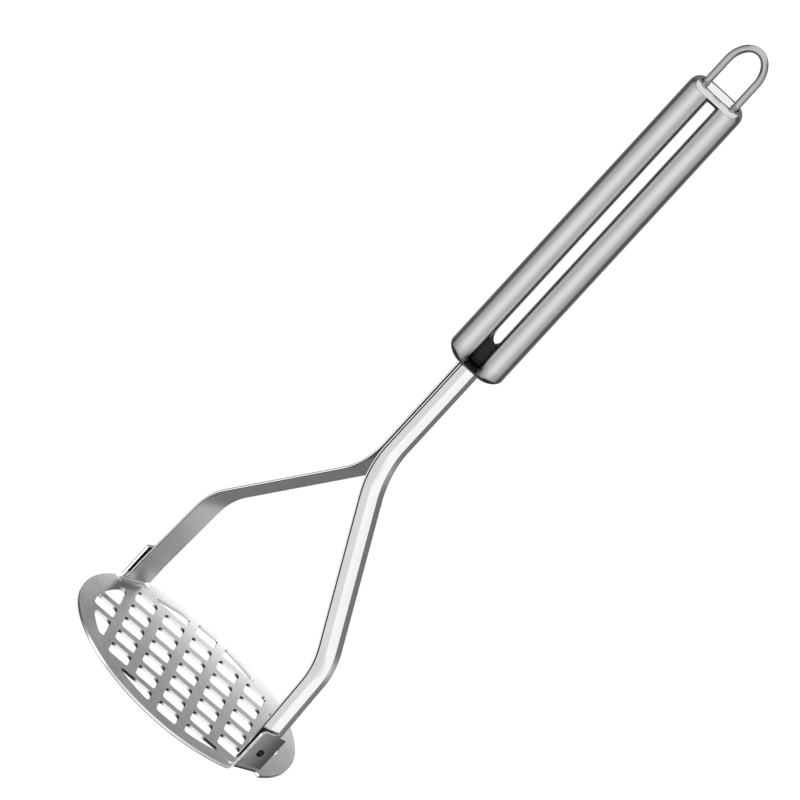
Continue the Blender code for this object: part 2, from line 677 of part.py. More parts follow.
# --- hanging loop ---------------------------------------------------------------------------
def make_loop(pieces, mat):
    """Two straight legs through the end cap, joined by an arch of round wire."""
    half = LOOP_SPACING / 2
    crest = HANDLE_TOP + LOOP_HEIGHT - WIRE_RADIUS
    spring = crest - LOOP_ARCH
    foot = HANDLE_TOP - LEG_INSIDE
    route = [(half, foot), (half, spring - (spring - foot) / 3)]
    steps = 18
    for i in range(steps + 1):
        a = math.pi * i / steps
        route.append((half * math.cos(a), spring + LOOP_ARCH * math.sin(a)))
    route += [(-half, spring - (spring - foot) / 3), (-half, foot)]
    data = bpy.data.curves.new("hanging_loop", "CURVE")
    data.dimensions = "3D"
    data.bevel_depth = WIRE_RADIUS
    data.bevel_resolution = 3
    data.use_fill_caps = True
    spline = data.splines.new("POLY")
    spline.points.add(len(route) - 1)
    for target, (x, z) in zip(spline.points, route):
        target.co = (x * math.cos(HANDLE_TURN), x * math.sin(HANDLE_TURN), z, 1)
    curve = add_object("hanging_loop_route", data, pieces)
    loop = applied(curve)
    loop.name = "hanging_loop"
    loop.data.materials.clear()
    loop.data.materials.append(mat)


def main():
    pieces, cutters = start_scene()
    brushed = steel("brushed_steel", 0.62, 0.34)
    satin = steel("satin_steel", 0.66, 0.24)
    polished = steel("polished_steel", 0.70, 0.16)
    make_plate(pieces, cutters, brushed)
    section = strip_section(cutters)
    for name, way in (("arm_right", 1), ("arm_left", -1)):
        make_strip(name, way, section, pieces, cutters, satin)
    for name, way in (("rivet_right", 1), ("rivet_left", -1)):
        make_rivet(name, way, pieces, satin)
    make_handle(pieces, cutters, polished)
    make_end_cap(pieces, cutters, polished)
    make_lower_cap(pieces, cutters, polished)
    make_loop(pieces, polished)
    for obj in pieces.objects:
        if obj.type == "MESH":
            obj.data.shade_smooth()
            obj.data.set_sharp_from_angle(angle=math.radians(30))


main()
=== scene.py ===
import math

import bmesh
import bpy
from mathutils import Matrix, Vector


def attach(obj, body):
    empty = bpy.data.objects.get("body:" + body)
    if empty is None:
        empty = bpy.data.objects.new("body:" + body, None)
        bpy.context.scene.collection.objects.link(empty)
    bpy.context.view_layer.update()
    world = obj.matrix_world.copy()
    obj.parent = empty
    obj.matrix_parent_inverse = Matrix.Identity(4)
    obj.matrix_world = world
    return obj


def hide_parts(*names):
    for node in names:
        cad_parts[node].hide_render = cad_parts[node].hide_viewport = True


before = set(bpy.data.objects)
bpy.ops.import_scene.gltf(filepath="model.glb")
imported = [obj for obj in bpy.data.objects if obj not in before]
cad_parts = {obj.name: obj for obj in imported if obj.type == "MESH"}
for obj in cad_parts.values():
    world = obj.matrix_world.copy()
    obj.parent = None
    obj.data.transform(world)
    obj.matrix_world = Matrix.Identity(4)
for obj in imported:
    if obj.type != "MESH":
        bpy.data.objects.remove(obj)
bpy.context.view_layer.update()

MM = 0.001
WELD = 0.001 * MM                   # points closer than this are one

# --- sizes, in metres -------------------------------------------------------------------------
PLATE_R = 42.5 * MM
SHEET = 1.0 * MM
PITCH = 11.0 * MM
HOLE = 7.8 * MM
HOLE_CORNER = 1.2 * MM
FIELD_R = 36.6 * MM
FIELD_SLACK = 0.6 * MM
GRID_TURN = math.radians(43.0)
TAB_W = 11.0 * MM
TAB_TOP = 16.0 * MM
TAB_SKEW = 1.2 * MM
TAB_ROUND = 1.8 * MM
TAB_CORNER = 0.4 * MM
TAB_OUT = 41.2 * MM
NOTCH = 0.5 * MM
FLARE = 2.0 * MM                    # hollow rounding from one side of a tab into the rim
BLEND = 3.0 * MM                    # stretch of rim over which the bend dies out there
BEND = 1.2 * MM
PUNCH_ROLL = 0.12 * MM              # rounding left along cut edges

STRIP_W = 10.8 * MM
STRIP_T = 1.3 * MM
SLOPE_W = 3.2 * MM                  # sloping bands along the outer face
SLOPE_DROP = 0.45 * MM
STRIP_CROWN = 0.03 * MM             # swelling of the band between them
STRIP_EDGE = 0.25 * MM
STRIP_OUT = 39.9 * MM
STRIP_FOOT = 3.5 * MM
FOOT_BEND = (10.0 * MM, 10.0 * MM)  # height and radius
KNEE = (38.25 * MM, 42.6 * MM, 21.0 * MM)
NECK = (1.45 * MM, 94.3 * MM, 30.0 * MM)
SHOULDER = 140.4 * MM
TANG_TOP = 141.3 * MM
TANG_W = 5.0 * MM

RIVET_Z = 8.4 * MM
RIVET_R = 0.8 * MM
RIVET_HEAD_R = 1.3 * MM
RIVET_HEAD_H = 0.5 * MM
RIVET_DEPTH = 0.9 * MM

GRIP_LOW = 140.7 * MM
GRIP_HIGH = 261.8 * MM
GRIP_TURN = math.radians(37.0)
LOBE_A = 4.35 * MM
LOBE_B = 6.0 * MM
LOBE_C = 5.8 * MM
WALL = 0.7 * MM
WEB = 0.75 * MM
SEAM = 0.3 * MM
FOOT_DOME = 3.0 * MM
FOOT_DRAW = (4.7 * MM, 1.21 * MM)
TOP_DOME = 3.2 * MM
TOP_DRAW = (2.05 * MM, 1.9 * MM)
LIP_ROLL = 0.18 * MM
SHELF_LOW = 1.2 * MM
SHELF_HIGH = 1.4 * MM
RUNOUT = 1.0 * MM
SLOT_W = 3.2 * MM
SLOT_LOW = 150.9 * MM
SLOT_HIGH = 257.6 * MM
SLOT_TIP = 4.6 * MM
SLOT_SHIFT = 2.4 * MM               # of the slot's point from its side
SLOT_STEP = 1.2 * MM
SLOT_CORNER = 0.5 * MM
CAP_DEPTH = 1.2 * MM
FOOT_DEPTH = 0.9 * MM
LIP = 0.6 * MM

WIRE_R = 1.2 * MM
LEG = 5.9 * MM
LOOP_TOP = 282.0 * MM
LOOP_ARCH = 8.7 * MM
LEG_FOOT = 256.8 * MM
CLEAR = 0.3 * MM


# --- flows: values that run between nodes -----------------------------------------------------
class Flow:
    """One number running between nodes; Python's operators add the Math nodes."""

    def __init__(self, bench, socket):
        self.bench = bench
        self.socket = socket

    def _math(self, operation, first, second=None):
        values = {0: first} if second is None else {0: first, 1: second}
        return self.bench.node(self.bench.maths, {"operation": operation}, values).flow(0)

    def __add__(self, other):
        return self._math("ADD", self, other)

    def __radd__(self, other):
        return self._math("ADD", other, self)

    def __sub__(self, other):
        return self._math("SUBTRACT", self, other)

    def __rsub__(self, other):
        return self._math("SUBTRACT", other, self)

    def __mul__(self, other):
        return self._math("MULTIPLY", self, other)

    def __rmul__(self, other):
        return self._math("MULTIPLY", other, self)

    def __truediv__(self, other):
        return self._math("DIVIDE", self, other)

    def __rtruediv__(self, other):
        return self._math("DIVIDE", other, self)

    def __abs__(self):
        return self._math("ABSOLUTE", self)

    def bearing(self, other):
        return self._math("ARCTAN2", self, other)

    def hypot(self, other):
        return self._math("SQRT", self * self + other * other)

    def below(self, other):
        return self._math("LESS_THAN", self, other)

    def ramp(self, low, high, start=0.0, end=1.0):
        """Smooth step from start to end as the value goes from low to high."""
        return self.bench.node("ShaderNodeMapRange", {"interpolation_type": "SMOOTHSTEP"},
                               {"Value": self, "From Min": low, "From Max": high,
                                "To Min": start, "To Max": end}).flow("Result")


class Made:
    """A node that has been added, with its outputs at hand."""

    def __init__(self, bench, node):
        self.bench = bench
        self.node = node

    def out(self, key):
        return self.node.outputs[key]

    def flow(self, key):
        return Flow(self.bench, self.node.outputs[key])


class Bench:
    """Adds nodes to one tree: settings first, then values or links for the sockets."""

    def __init__(self, tree, maths="ShaderNodeMath"):
        self.tree = tree
        self.maths = maths

    def node(self, kind, settings=None, values=None):
        made = self.tree.nodes.new(kind)
        for key, value in (settings or {}).items():
            setattr(made, key, value)
        for key, value in (values or {}).items():
            self.feed(made.inputs[key], value)
        return Made(self, made)

    def feed(self, socket, value):
        if isinstance(value, Flow):
            self.tree.links.new(value.socket, socket)
        elif isinstance(value, bpy.types.NodeSocket):
            self.tree.links.new(value, socket)
        else:
            socket.default_value = value


# --- steel finishes ---------------------------------------------------------------------------
GRAIN_TURN = math.radians(20.0)     # of the plate's grain from the line of the fork
CUT_GREY = 0.92
# painted shade on the ears
TAB_SHADE_GREY = 0.06
# painted shade along the foot of the plate's rim
RIM_FOOT_SHADE_GREY = 0.1
# painted shade at the foot of the handle
GRIP_FOOT_SHADE_GREY = 0.12
# painted shade in the corners of the holes' walls
HOLE_CORNER_SHADE_GREY = 0.04
PAINTED_SHADE_GREY = 0.03                        # painted shade in grooves and along rounded edges


class Finish(Bench):
    """A bare stainless finish; the grain and the painted shade are drawn in the piece's own space."""

    def __init__(self, name, roughness, grey):
        self.material = bpy.data.materials.new(name)
        self.material.use_nodes = True
        super().__init__(self.material.node_tree)
        self.tree.nodes.clear()
        self.shader = self.node("ShaderNodeBsdfPrincipled", None, {
            "Metallic": 1.0, "Roughness": roughness, "Base Color": (grey, grey, grey, 1.0)})
        self.node("ShaderNodeOutputMaterial", None, {"Surface": self.shader.out(0)})
        self.place = self.node("ShaderNodeTexCoord").out("Object")

    def split(self, vector):
        parts = self.node("ShaderNodeSeparateXYZ", None, {0: vector})
        return parts.flow(0), parts.flow(1), parts.flow(2)

    def stretched(self, vector, scale, turn=0.0):
        return self.node("ShaderNodeMapping", None, {
            "Vector": vector, "Scale": scale, "Rotation": (0, 0, turn)}).out(0)

    def noise(self, vector, detail=2.0, rough=0.5):
        return self.node("ShaderNodeTexNoise", None, {
            "Vector": vector, "Scale": 1.0, "Detail": detail, "Roughness": rough}).flow(0)

    def tone(self, share, dark, light):
        """A grey between two tones, each an (r, g, b)."""
        mix = self.node("ShaderNodeMix", {"data_type": "RGBA"}, {"Factor": share})
        self.feed(mix.node.inputs[6], (*dark, 1.0))
        self.feed(mix.node.inputs[7], (*light, 1.0))
        return mix.out(2)

    def shaded(self, tone, share, grey):
        """The tone, taken to a plain grey where the share is one."""
        mix = self.node("ShaderNodeMix", {"data_type": "RGBA"}, {"Factor": share})
        self.feed(mix.node.inputs[6], tone)
        self.feed(mix.node.inputs[7], (grey, grey, grey, 1.0))
        return mix.out(2)

    def set(self, color, roughness, height, depth, strength):
        """Wire the finish into the shader: the height becomes a bump of the depth given."""
        shader = self.shader.node
        bump = self.node("ShaderNodeBump", None, {
            "Height": height, "Distance": depth, "Strength": strength})
        self.feed(shader.inputs["Base Color"], color)
        self.feed(shader.inputs["Roughness"], roughness)
        self.feed(shader.inputs["Normal"], bump.out(0))
        return self.material


def plate_finish():
    """Rolled sheet: straight grain that follows the sheet round its bends, bright cut edges, and painted shade
    on the ears, along the foot of the rim and in the corners of the holes.
    """
    f = Finish("plate_brushed_steel", 0.34, 0.6)
    sheet = f.node("ShaderNodeUVMap", {"uv_map": "sheet"}).out(0)
    fine = f.noise(f.stretched(sheet, (90, 2600, 1), GRAIN_TURN), 3.0, 0.6)
    broad = f.noise(f.stretched(sheet, (60, 190, 1), GRAIN_TURN), 2.0)
    mottled = f.noise(f.stretched(f.place, (70, 70, 70)), 3.0)
    tone = f.tone(fine * 0.55 + broad * 0.45, (0.40, 0.40, 0.405), (0.76, 0.76, 0.765))
    x, y, _ = f.split(f.stretched(sheet, (1, 1, 1), -GRID_TURN))
    up = f.split(f.node("ShaderNodeNewGeometry").out("True Normal"))[2]
    cells = [f.node("ShaderNodeMath", {"operation": "PINGPONG"}, {0: way, 1: PITCH / 2}) for way in (x, y)]
    near_x, near_y = (abs(cell.flow(0)).ramp(1.9 * MM, 3.3 * MM) for cell in cells)
    in_corner = near_y * near_x
    wall = abs(up).ramp(0.3, 0.7, 1.0, 0.0)
    inside = x.hypot(y).below(FIELD_R - 0.5 * MM)
    tone = f.shaded(tone, wall, CUT_GREY)
    px, py, pz = f.split(f.place)
    along_tab = px * py / TAB_OUT
    tab = abs(px).ramp(40.5 * MM, 41.0 * MM) * pz.ramp(2.0 * MM, 3.0 * MM)
    # painted shade: each ear darkens across its width towards one side
    tone = f.shaded(tone, along_tab.ramp(-7 * MM, 6 * MM, 0.0, 0.75) * tab, TAB_SHADE_GREY)
    # painted shade: a dark line along the lowest part of the rim's cut edge
    under = pz.ramp(0.1 * MM, 0.3 * MM, 1.0, 0.0) * wall * (1.0 - inside)
    tone = f.shaded(tone, under, RIM_FOOT_SHADE_GREY)
    # painted shade: the walls of the holes darken towards their corners
    tone = f.shaded(tone, in_corner * wall * inside, HOLE_CORNER_SHADE_GREY)
    rough = 0.2 + fine * 0.12 + mottled * 0.06 - wall * 0.08
    return f.set(tone, rough, fine * 0.8 + broad * 0.4, 0.00003, 0.35)


def strip_finish():
    """Polished outer faces with faint scratches along the strip, and painted shade along the rounded edges."""
    f = Finish("strip_polished_steel", 0.1, 0.7)
    along = f.noise(f.stretched(f.place, (2200, 2200, 60)), 2.0, 0.6)
    cloud = f.noise(f.stretched(f.place, (120, 120, 60)), 3.0)
    tone = f.tone(along * 0.4 + cloud * 0.6, (0.68, 0.68, 0.685), (0.78, 0.78, 0.785))
    across = abs(f.split(f.node("ShaderNodeNewGeometry").out("True Normal"))[1])
    # painted shade along the strips' rounded edges
    rounding = across.ramp(0.16, 0.3) * across.ramp(0.90, 0.98, 1.0, 0.0)
    return f.set(f.shaded(tone, rounding, PAINTED_SHADE_GREY), 0.10 + cloud * 0.05 + along * 0.03, along, 0.000004, 0.2)


def strip_inner_finish():
    """The strips' inner faces keep the dull finish of the mill."""
    f = Finish("strip_mill_steel", 0.34, 0.5)
    along = f.noise(f.stretched(f.place, (1500, 1500, 90)), 3.0, 0.6)
    cloud = f.noise(f.stretched(f.place, (90, 90, 45)), 3.0)
    tone = f.tone(along * 0.5 + cloud * 0.5, (0.42, 0.42, 0.425), (0.56, 0.56, 0.565))
    return f.set(tone, 0.30 + cloud * 0.08, along, 0.00001, 0.3)


def grip_finish():
    """Handle shells: polished along their length, with painted shade in the groove and at the foot."""
    f = Finish("handle_polished_steel", 0.2, 0.7)
    turned = f.stretched(f.place, (1, 1, 1), -GRIP_TURN)
    x, y, z = f.split(turned)
    grain = f.noise(f.stretched(turned, (1500, 1500, 24)), 3.0, 0.6)
    cloud = f.noise(f.stretched(turned, (110, 110, 40)), 3.0)
    # painted shade in the groove between the lobes
    groove = abs(x).ramp(1.45 * MM, 1.75 * MM, 1.0, 0.0) * abs(y).ramp(2.5 * MM, 5.6 * MM, 1.0, 0.0)
    tone = f.tone(grain * 0.5 + cloud * 0.5, (0.66, 0.66, 0.665), (0.76, 0.76, 0.765))
    # painted shade: the handle darkens towards its foot
    foot = z.ramp(GRIP_LOW, GRIP_LOW + 7 * MM, 0.6, 0.0)
    tone = f.shaded(tone, foot, GRIP_FOOT_SHADE_GREY)
    return f.set(f.shaded(tone, groove, PAINTED_SHADE_GREY), 0.11 + cloud * 0.04 + groove * 0.2, grain, 0.00002, 0.25)


def cap_finish():
    """Stamped caps: satin, with a fine random grain."""
    f = Finish("cap_satin_steel", 0.28, 0.7)
    fine = f.noise(f.stretched(f.place, (900, 900, 900)), 3.0, 0.6)
    cloud = f.noise(f.stretched(f.place, (160, 160, 160)), 3.0)
    tone = f.tone(fine * 0.5 + cloud * 0.5, (0.66, 0.66, 0.665), (0.76, 0.76, 0.765))
    return f.set(tone, 0.22 + cloud * 0.12, fine, 0.00001, 0.3)


def wire_finish():
    """Drawn wire of the hanging loop."""
    f = Finish("wire_drawn_steel", 0.2, 0.66)
    along = f.noise(f.stretched(f.place, (1300, 1300, 160)), 2.0, 0.6)
    cloud = f.noise(f.stretched(f.place, (150, 150, 90)), 3.0)
    tone = f.tone(along * 0.5 + cloud * 0.5, (0.46, 0.46, 0.465), (0.60, 0.60, 0.605))
    return f.set(tone, 0.18 + cloud * 0.08, along, 0.000008, 0.3)


def rivet_finish():
    """Rivet heads: struck faces with small dents."""
    f = Finish("rivet_struck_steel", 0.3, 0.6)
    dent = f.noise(f.stretched(f.place, (1400, 1400, 1400)), 2.0)
    cloud = f.noise(f.stretched(f.place, (500, 500, 500)), 3.0)
    tone = f.tone(cloud, (0.02, 0.02, 0.02), (0.05, 0.05, 0.05))
    return f.set(tone, 0.24 + dent * 0.1, dent, 0.00004, 0.3)


# --- mesh helpers -----------------------------------------------------------------------------
def add_object(name, data):
    obj = bpy.data.objects.new(name, data)
    bpy.context.scene.collection.objects.link(obj)
    return obj


def mesh_of(bm, name):
    bmesh.ops.remove_doubles(bm, verts=bm.verts, dist=WELD)
    bmesh.ops.recalc_face_normals(bm, faces=bm.faces)
    mesh = bpy.data.meshes.new(name)
    bm.to_mesh(mesh)
    bm.free()
    return mesh


def settled(obj):
    """The evaluated mesh of an object, in place, as a plain object of the same name."""
    bpy.context.view_layer.update()
    graph = bpy.context.evaluated_depsgraph_get()
    mesh = bpy.data.meshes.new_from_object(obj.evaluated_get(graph), depsgraph=graph)
    mesh.transform(obj.matrix_world)
    name = obj.name
    bpy.data.objects.remove(obj)
    return add_object(name, mesh)


def boolean(obj, tools, operation="DIFFERENCE"):
    """Cuts (or keeps the overlap with) each tool in turn; the tools are left in place."""
    for tool in tools:
        mod = obj.modifiers.new(tool.name, "BOOLEAN")
        mod.operation = operation
        mod.solver = "EXACT"
        mod.object = tool
    return settled(obj)


def soften(obj, width, segments, angle):
    """A small rounding along the sharp edges, with the flat faces kept flat."""
    bevel = obj.modifiers.new("edge_rounding", "BEVEL")
    bevel.width = width
    bevel.segments = segments
    bevel.limit_method = "ANGLE"
    bevel.angle_limit = math.radians(angle)
    bevel.harden_normals = True
    bevel.miter_outer = "MITER_ARC"
    obj.data.shade_smooth()


def arc(centre, radius, start, end, steps):
    angles = [start + (end - start) * i / steps for i in range(steps + 1)]
    return [(centre[0] + radius * math.cos(a), centre[1] + radius * math.sin(a)) for a in angles]


def fillet(before, corner, after, radius, step=math.radians(1.5)):
    """Points of the arc that rounds off one corner of a line."""
    into = math.atan2(corner[1] - before[1], corner[0] - before[0])
    out = math.atan2(after[1] - corner[1], after[0] - corner[0])
    turn = (out - into + math.pi) % (2 * math.pi) - math.pi
    way = math.copysign(1, turn)
    tangent = radius * math.tan(abs(turn) / 2)
    first = (corner[0] - tangent * math.cos(into), corner[1] - tangent * math.sin(into))
    centre = (first[0] - way * radius * math.sin(into), first[1] + way * radius * math.cos(into))
    start = into - way * math.pi / 2
    return arc(centre, radius, start, start + turn, max(2, math.ceil(abs(turn) / step)))


def prism(name, outline, low, high, turn=0.0):
    """An outline extruded from low to high and turned about Z."""
    bm = bmesh.new()
    spin = Matrix.Rotation(turn, 3, "Z")
    face = bm.faces.new([bm.verts.new(spin @ Vector((x, y, low))) for x, y in outline])
    grown = bmesh.ops.extrude_face_region(bm, geom=[face], use_keep_orig=True)
    top = [v for v in grown["geom"] if isinstance(v, bmesh.types.BMVert)]
    bmesh.ops.translate(bm, verts=top, vec=(0, 0, high - low))
    return add_object(name, mesh_of(bm, name))


def loft(bm, rings):
    """Skin between rings of equal length, closed at both ends."""
    rows = [[bm.verts.new(p) for p in ring] for ring in rings]
    count = len(rows[0])
    for lower, upper in zip(rows, rows[1:]):
        for i in range(count):
            j = (i + 1) % count
            bm.faces.new((lower[i], lower[j], upper[j], upper[i]))
    bm.faces.new(list(reversed(rows[0])))
    bm.faces.new(rows[-1])


def flat_curve(name, outlines):
    """Closed outlines as one flat curve object."""
    data = bpy.data.curves.new(name, "CURVE")
    data.dimensions = "2D"
    data.fill_mode = "NONE"
    for outline in outlines:
        spline = data.splines.new("POLY")
        spline.points.add(len(outline) - 1)
        for point, (x, y) in zip(spline.points, outline):
            point.co = (x, y, 0, 1)
        spline.use_cyclic_u = True
    return add_object(name, data)


# --- node recipes for shapes ------------------------------------------------------------------
class Recipe(Bench):
    """A Geometry Nodes tree with named inputs, ending in Realize Instances and Set Material."""

    def __init__(self, name, inputs):
        tree = bpy.data.node_groups.new(name, "GeometryNodeTree")
        super().__init__(tree)
        tree.interface.new_socket("Geometry", in_out="INPUT", socket_type="NodeSocketGeometry")
        tree.interface.new_socket("Geometry", in_out="OUTPUT", socket_type="NodeSocketGeometry")
        self.keys = {}
        for title, (kind, value) in inputs.items():
            made = tree.interface.new_socket(title, in_out="INPUT", socket_type="NodeSocket" + kind)
            self.keys[title] = (made.identifier, value)
        self.given = self.node("NodeGroupInput")

    def value(self, title):
        return self.given.flow(title)

    def finish(self, geometry, material):
        real = self.node("GeometryNodeRealizeInstances", None, {0: geometry})
        done = self.node("GeometryNodeSetMaterial", None, {"Geometry": real.out(0), "Material": material})
        self.node("NodeGroupOutput", None, {0: done.out(0)})

    def make(self, name, source=None):
        """Run the recipe on an object (or on nothing) and return the plain result."""
        obj = source or add_object(name, bpy.data.meshes.new(name))
        mod = obj.modifiers.new(self.tree.name, "NODES")
        mod.node_group = self.tree
        for identifier, value in self.keys.values():
            mod[identifier] = value
        done = settled(obj)
        done.name = name
        return done


# --- mashing plate ----------------------------------------------------------------------------
BEND_FROM = TAB_OUT - SHEET - BEND
NEUTRAL = BEND + SHEET / 2
BEND_RUN = NEUTRAL * math.pi / 2


def sheet_outline():
    """The flat blank: a disc with an ear at each side, before the ears are folded up."""
    tip = BEND_FROM + BEND_RUN + TAB_TOP - SHEET - BEND
    half = TAB_W / 2
    notch = half + NOTCH
    rim = math.asin(notch / PLATE_R)
    hollow = (math.sqrt((PLATE_R + FLARE) ** 2 - (half + FLARE) ** 2), -half - FLARE)
    meet = math.atan2(hollow[1], hollow[0])
    high, low, foot = (tip + TAB_SKEW / 2, -half), (tip - TAB_SKEW / 2, half), (BEND_FROM, half)
    side = arc((0, 0), PLATE_R, -math.pi / 2, meet, 56)
    side += arc(hollow, FLARE, meet + math.pi, math.pi / 2, 14)[1:]
    side += fillet((hollow[0], -half), high, low, TAB_ROUND, math.radians(9))
    side += fillet(high, low, foot, TAB_CORNER, math.radians(18))
    side += [foot, (BEND_FROM, notch)]
    side += arc((0, 0), PLATE_R, rim, math.pi / 2, 56)[:-1]
    return side + [(-x, -y) for x, y in side]


def corner_opening():
    """Three-cornered hole between two lines of the grid and the edge of the hole field."""
    near = PITCH - HOLE / 2
    base = 3 * PITCH - HOLE / 2
    r = HOLE_CORNER
    reach = FIELD_R - r
    tip = (math.sqrt(reach ** 2 - (base + r) ** 2), base + r)
    peak = (near + r, math.sqrt(reach ** 2 - (near + r) ** 2))
    tip_angle = math.atan2(tip[1], tip[0])
    peak_angle = math.atan2(peak[1], peak[0])
    points = arc((near + r, base + r), r, math.pi, 1.5 * math.pi, 6)
    points += arc(tip, r, -math.pi / 2, tip_angle, 10)
    points += arc((0, 0), FIELD_R, tip_angle, peak_angle, 16)[1:-1]
    points += arc(peak, r, peak_angle, math.pi, 8)
    return points


def punching_recipe(material, corner):
    """Fills the blank round a grid of square holes and eight corner holes, then thickens it."""
    r = Recipe("plate_punching", {
        "Pitch": ("Float", PITCH), "Hole": ("Float", HOLE), "Corner": ("Float", HOLE_CORNER),
        "Field": ("Float", FIELD_R + FIELD_SLACK), "Sheet": ("Float", SHEET), "Turn": ("Float", GRID_TURN),
        "Rivet hole": ("Float", RIVET_R + CLEAR), "Corner hole": ("Object", corner)})
    pitch, hole = r.value("Pitch"), r.value("Hole")
    span = pitch * 8.0
    grid = r.node("GeometryNodeMeshGrid", None, {
        "Size X": span, "Size Y": span, "Vertices X": 9, "Vertices Y": 9})
    spot = r.node("GeometryNodeInputPosition")
    parts = r.node("ShaderNodeSeparateXYZ", None, {0: spot.out(0)})
    reach = (abs(parts.flow(0)) + hole * 0.5).hypot(abs(parts.flow(1)) + hole * 0.5)
    outside = r.node("FunctionNodeCompare", {"data_type": "FLOAT", "operation": "GREATER_THAN"},
                     {0: reach, 1: r.value("Field")})
    kept = r.node("GeometryNodeDeleteGeometry", {"domain": "POINT"}, {0: grid.out(0), 1: outside.out(0)})
    square = r.node("GeometryNodeCurvePrimitiveQuadrilateral", None, {"Width": hole, "Height": hole})
    rounded = r.node("GeometryNodeFilletCurve", {"mode": "POLY"}, {
        0: square.out(0), "Count": 6, "Radius": r.value("Corner")})
    squares = r.node("GeometryNodeInstanceOnPoints", None, {"Points": kept.out(0), "Instance": rounded.out(0)})

    shape = r.node("GeometryNodeObjectInfo", None, {"Object": r.value("Corner hole")})
    ring = r.node("GeometryNodeMeshLine", None, {"Count": 8, "Offset": (0, 0, 0)})
    index = r.node("GeometryNodeInputIndex").flow(0)
    quarter = r.node("ShaderNodeMath", {"operation": "FLOOR"}, {0: index * 0.5}).flow(0)
    odd = index - quarter * 2.0
    angle = r.node("ShaderNodeCombineXYZ", None, {2: quarter * (math.pi / 2)})
    flip = r.node("ShaderNodeCombineXYZ", None, {0: 1.0 - odd * 2.0, 1: 1.0, 2: 1.0})
    corners = r.node("GeometryNodeInstanceOnPoints", None, {
        "Points": ring.out(0), "Instance": shape.out("Geometry"), "Scale": flip.out(0)})
    r.tree.links.new(angle.out(0), corners.node.inputs["Rotation"])

    holes = r.node("GeometryNodeJoinGeometry")
    for source in (squares, corners):
        r.tree.links.new(source.out(0), holes.node.inputs[0])
    turn = r.node("ShaderNodeCombineXYZ", None, {2: r.value("Turn")})
    laid = r.node("GeometryNodeTransform", None, {"Geometry": holes.out(0)})
    r.tree.links.new(turn.out(0), laid.node.inputs["Rotation"])

    bore = r.node("GeometryNodeCurvePrimitiveCircle", None, {"Resolution": 32, "Radius": r.value("Rivet hole")})
    ends = r.node("GeometryNodeMeshLine", None, {
        "Count": 2, "Start Location": (rivet_on_sheet(), 0, 0), "Offset": (-2 * rivet_on_sheet(), 0, 0)})
    bores = r.node("GeometryNodeInstanceOnPoints", None, {"Points": ends.out(0), "Instance": bore.out(0)})

    every = r.node("GeometryNodeJoinGeometry")
    for source in (r.given.out(0), laid.out(0), bores.out(0)):
        r.tree.links.new(source, every.node.inputs[0])
    curves = r.node("GeometryNodeRealizeInstances", None, {0: every.out(0)})
    fill = r.node("GeometryNodeFillCurve", None, {0: curves.out(0)})
    up = r.node("ShaderNodeCombineXYZ", None, {2: r.value("Sheet")})
    thick = r.node("GeometryNodeExtrudeMesh", {"mode": "FACES"}, {
        "Mesh": fill.out(0), "Offset": up.out(0), "Offset Scale": 1.0, "Individual": False})
    under = r.node("GeometryNodeFlipFaces", None, {0: fill.out(0)})
    both = r.node("GeometryNodeJoinGeometry")
    for source in (thick, under):
        r.tree.links.new(source.out(0), both.node.inputs[0])
    welded = r.node("GeometryNodeMergeByDistance", None, {0: both.out(0), "Distance": WELD})
    r.finish(welded.out(0), material)
    return r


def rivet_on_sheet():
    """Where the rivet's hole lies on the flat blank, from the middle."""
    return BEND_FROM + BEND_RUN + RIVET_Z - SHEET - BEND


def slice_at(bm, point, normal, way, beyond):
    """Adds a line of edges where a plane meets the faces that lie beyond a distance along X."""
    faces = [f for f in bm.faces if way * f.calc_center_median().x > beyond]
    parts = set(faces)
    for face in faces:
        parts.update(face.edges)
        parts.update(face.verts)
    bmesh.ops.bisect_plane(bm, geom=list(parts), plane_co=point, plane_no=normal, dist=0.0005 * MM)


def fold_ears(mesh):
    """Folds both ears up; each loop keeps its flat place as a UV so the grain follows the sheet."""
    bm = bmesh.new()
    bm.from_mesh(mesh)
    bmesh.ops.remove_doubles(bm, verts=bm.verts, dist=WELD)
    for way in (1, -1):
        for i in range(15):
            slice_at(bm, (way * (BEND_FROM + BEND_RUN * i / 14), 0, 0), (1, 0, 0), way, 0.0)
        for i in range(13):
            slice_at(bm, (0, -way * (TAB_W / 2 + BLEND * i / 12), 0), (0, 1, 0), way, BEND_FROM)
    sheet = bm.loops.layers.uv.new("sheet")
    for face in bm.faces:
        for loop in face.loops:
            loop[sheet].uv = (loop.vert.co.x, loop.vert.co.y)
    for v in bm.verts:
        way = math.copysign(1, v.co.x)
        run = abs(v.co.x) - BEND_FROM
        across = v.co.y * way
        if run <= 0 or across > (TAB_W + NOTCH) / 2:
            continue
        share = min(max((across + TAB_W / 2 + BLEND) / BLEND, 0.0), 1.0)
        total = share * share * (3 - 2 * share) * math.pi / 2
        if total < 1e-6:
            continue
        radius = BEND_RUN / total
        angle = total * min(run, BEND_RUN) / BEND_RUN
        beyond = max(run - BEND_RUN, 0.0)
        lift = v.co.z - SHEET / 2
        v.co.x = way * (BEND_FROM + (radius - lift) * math.sin(angle) + beyond * math.cos(angle))
        v.co.z = SHEET / 2 + radius - (radius - lift) * math.cos(angle) + beyond * math.sin(angle)
    bmesh.ops.recalc_face_normals(bm, faces=bm.faces)
    bm.to_mesh(mesh)
    bm.free()


def make_plate(material):
    corner = flat_curve("corner_opening", [corner_opening()])
    blank = flat_curve("plate_blank", [sheet_outline()])
    plate = punching_recipe(material, corner).make("mashing_plate", blank)
    bpy.data.objects.remove(corner)
    fold_ears(plate.data)
    soften(plate, PUNCH_ROLL, 2, 40)
    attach(plate, "root")
    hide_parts("mash_plate")


